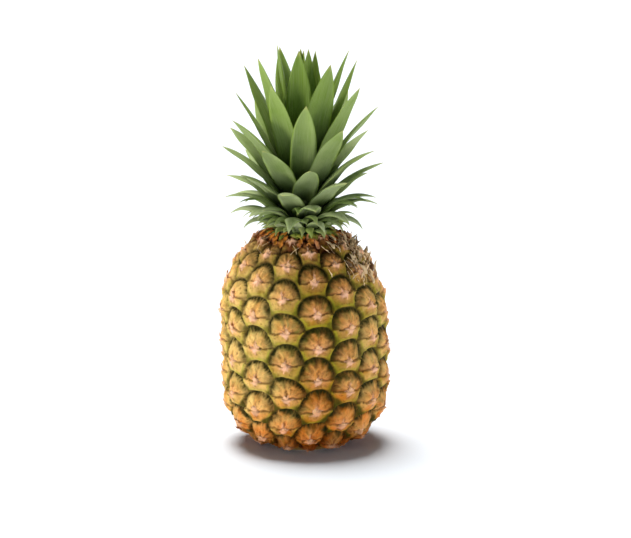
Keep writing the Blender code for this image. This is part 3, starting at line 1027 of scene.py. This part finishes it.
def dry_fibres():
    """Loose straw-like fibres, thick on the front right shoulder and thin elsewhere round the neck."""
    own = random.Random(EYE_SEED + 3)
    fibres = Blades()
    for index in range(FIBRE_COUNT):
        thick_patch = index < PATCH_COUNT
        if thick_patch:
            angle = math.radians(own.gauss(PATCH_MIDDLE, PATCH_SPREAD))
            length = OUTLINE.whole - own.uniform(*PATCH_BAND)
        else:
            angle = own.uniform(0, 2 * math.pi)
            length = OUTLINE.whole - own.uniform(*LOOSE_BAND)
        foot = rind_point(angle, length, own.uniform(1.6, 3.0))
        heading = angle + math.radians(own.uniform(-110, 110))
        out = away_from_axis(heading)
        climb = climb_at(length)
        slopes = (climb - own.uniform(-10, 20), climb + own.uniform(-20, 30))
        width = own.uniform(0.9, 3.0) if thick_patch else own.uniform(0.4, 0.9)
        fibres.add(
            foot, out, own.uniform(4, 9), width, slopes, thick=0.35, tone=own.random(), wave=0.3,
            phase=own.uniform(0, 6), across=3, steps=8, bend=own.uniform(-5, 5),
        )
    look = Look("fibre_look", FIBRE_PALE, 0.7)
    look.layer(PAPER_BROWN, look.mask("tone"), look.noise(200), 0.9)
    look.layer(RIM_BROWN, look.between(look.mask("tone"), 0.7, 0.9), 0.7)
    made = fibres.build("dry_fibres", look.finish(look.noise(900, 0.2, 0.8), 0.2))
    place(made, "fruit")


def add_camera():
    """The photograph's view, looking down a little at a point straight above the ground point."""
    across = (FRAME_PIXELS[0] / 2 - GROUND_PIXEL[0]) * PIXEL_SIZE
    up = (GROUND_PIXEL[1] - FRAME_PIXELS[1] / 2) * PIXEL_SIZE / math.cos(CAMERA_CLIMB)
    away = Vector((0.0, -math.cos(CAMERA_CLIMB), math.sin(CAMERA_CLIMB))) * CAMERA_DISTANCE
    data = bpy.data.cameras.new("camera")
    data.sensor_width = SENSOR
    data.lens = SENSOR * CAMERA_DISTANCE / (FRAME_PIXELS[0] * PIXEL_SIZE)
    camera = bpy.data.objects.new("camera", data)
    camera.location = (Vector((across, 0.0, up)) + away) * MM
    camera.rotation_euler = (-away).to_track_quat("-Z", "Y").to_euler()
    bpy.context.scene.collection.objects.link(camera)
    bpy.context.scene.camera = camera


def add_floor():
    look = bpy.data.materials.new("floor_look")
    look.use_nodes = True
    shader = look.node_tree.nodes["Principled BSDF"]
    shader.inputs["Base Color"].default_value = (*screen(FLOOR_WHITE), 1.0)
    shader.inputs["Roughness"].default_value = 0.9
    shader.inputs["Specular IOR Level"].default_value = 0.1
    corners = [(x * FLOOR_REACH, y * FLOOR_REACH, 0.0) for x, y in ((-1, -1), (1, -1), (1, 1), (-1, 1))]
    floor = mesh_object("floor", corners, [(0, 1, 2, 3)], look, smooth=False)


def add_sky():
    """A bright wall all round near the floor, and a dim blue ceiling."""
    world = bpy.data.worlds.new("studio")
    world.use_nodes = True
    sky = world.node_tree
    background = sky.nodes["Background"]
    direction = sky.nodes.new("ShaderNodeTexCoord")
    height = sky.nodes.new("ShaderNodeSeparateXYZ")
    sky.links.new(direction.outputs["Generated"], height.inputs["Vector"])

    def by_height(low, high):
        node = sky.nodes.new("ShaderNodeMapRange")
        values = {"From Min": SKY_TURN[0], "From Max": SKY_TURN[1], "To Min": low, "To Max": high}
        for name, value in values.items():
            node.inputs[name].default_value = value
        sky.links.new(height.outputs["Z"], node.inputs["Value"])
        return node.outputs["Result"]

    sky.links.new(by_height(SKY_LOW, SKY_HIGH), background.inputs["Strength"])
    mix = sky.nodes.new("ShaderNodeMix")
    mix.data_type = "RGBA"
    low_tint, high_tint = [s for s in mix.inputs if s.type == "RGBA"]
    low_tint.default_value = (*SKY_LOW_TINT, 1.0)
    high_tint.default_value = (*SKY_HIGH_TINT, 1.0)
    sky.links.new(by_height(0.0, 1.0), mix.inputs[0])
    tint = [s for s in mix.outputs if s.type == "RGBA"][0]
    sky.links.new(tint, background.inputs["Color"])
    bpy.context.scene.world = world
    bpy.context.scene.view_settings.view_transform = "Standard"


def add_lamps():
    for name, way, softness, power, tint in LAMPS:
        light = bpy.data.lights.new(name, "SUN")
        light.angle = math.radians(softness)
        light.energy = power
        light.color = tint
        lamp = bpy.data.objects.new(name, light)
        lamp.location = Vector(way)
        lamp.rotation_euler = (-Vector(way)).to_track_quat("-Z", "Y").to_euler()
        bpy.context.scene.collection.objects.link(lamp)


add_camera()
add_floor()
add_sky()
add_lamps()
rind()
papery_tips()
neck_ruff()
dry_fibres()
crown_core()
crown()

bpy.context.view_layer.update()
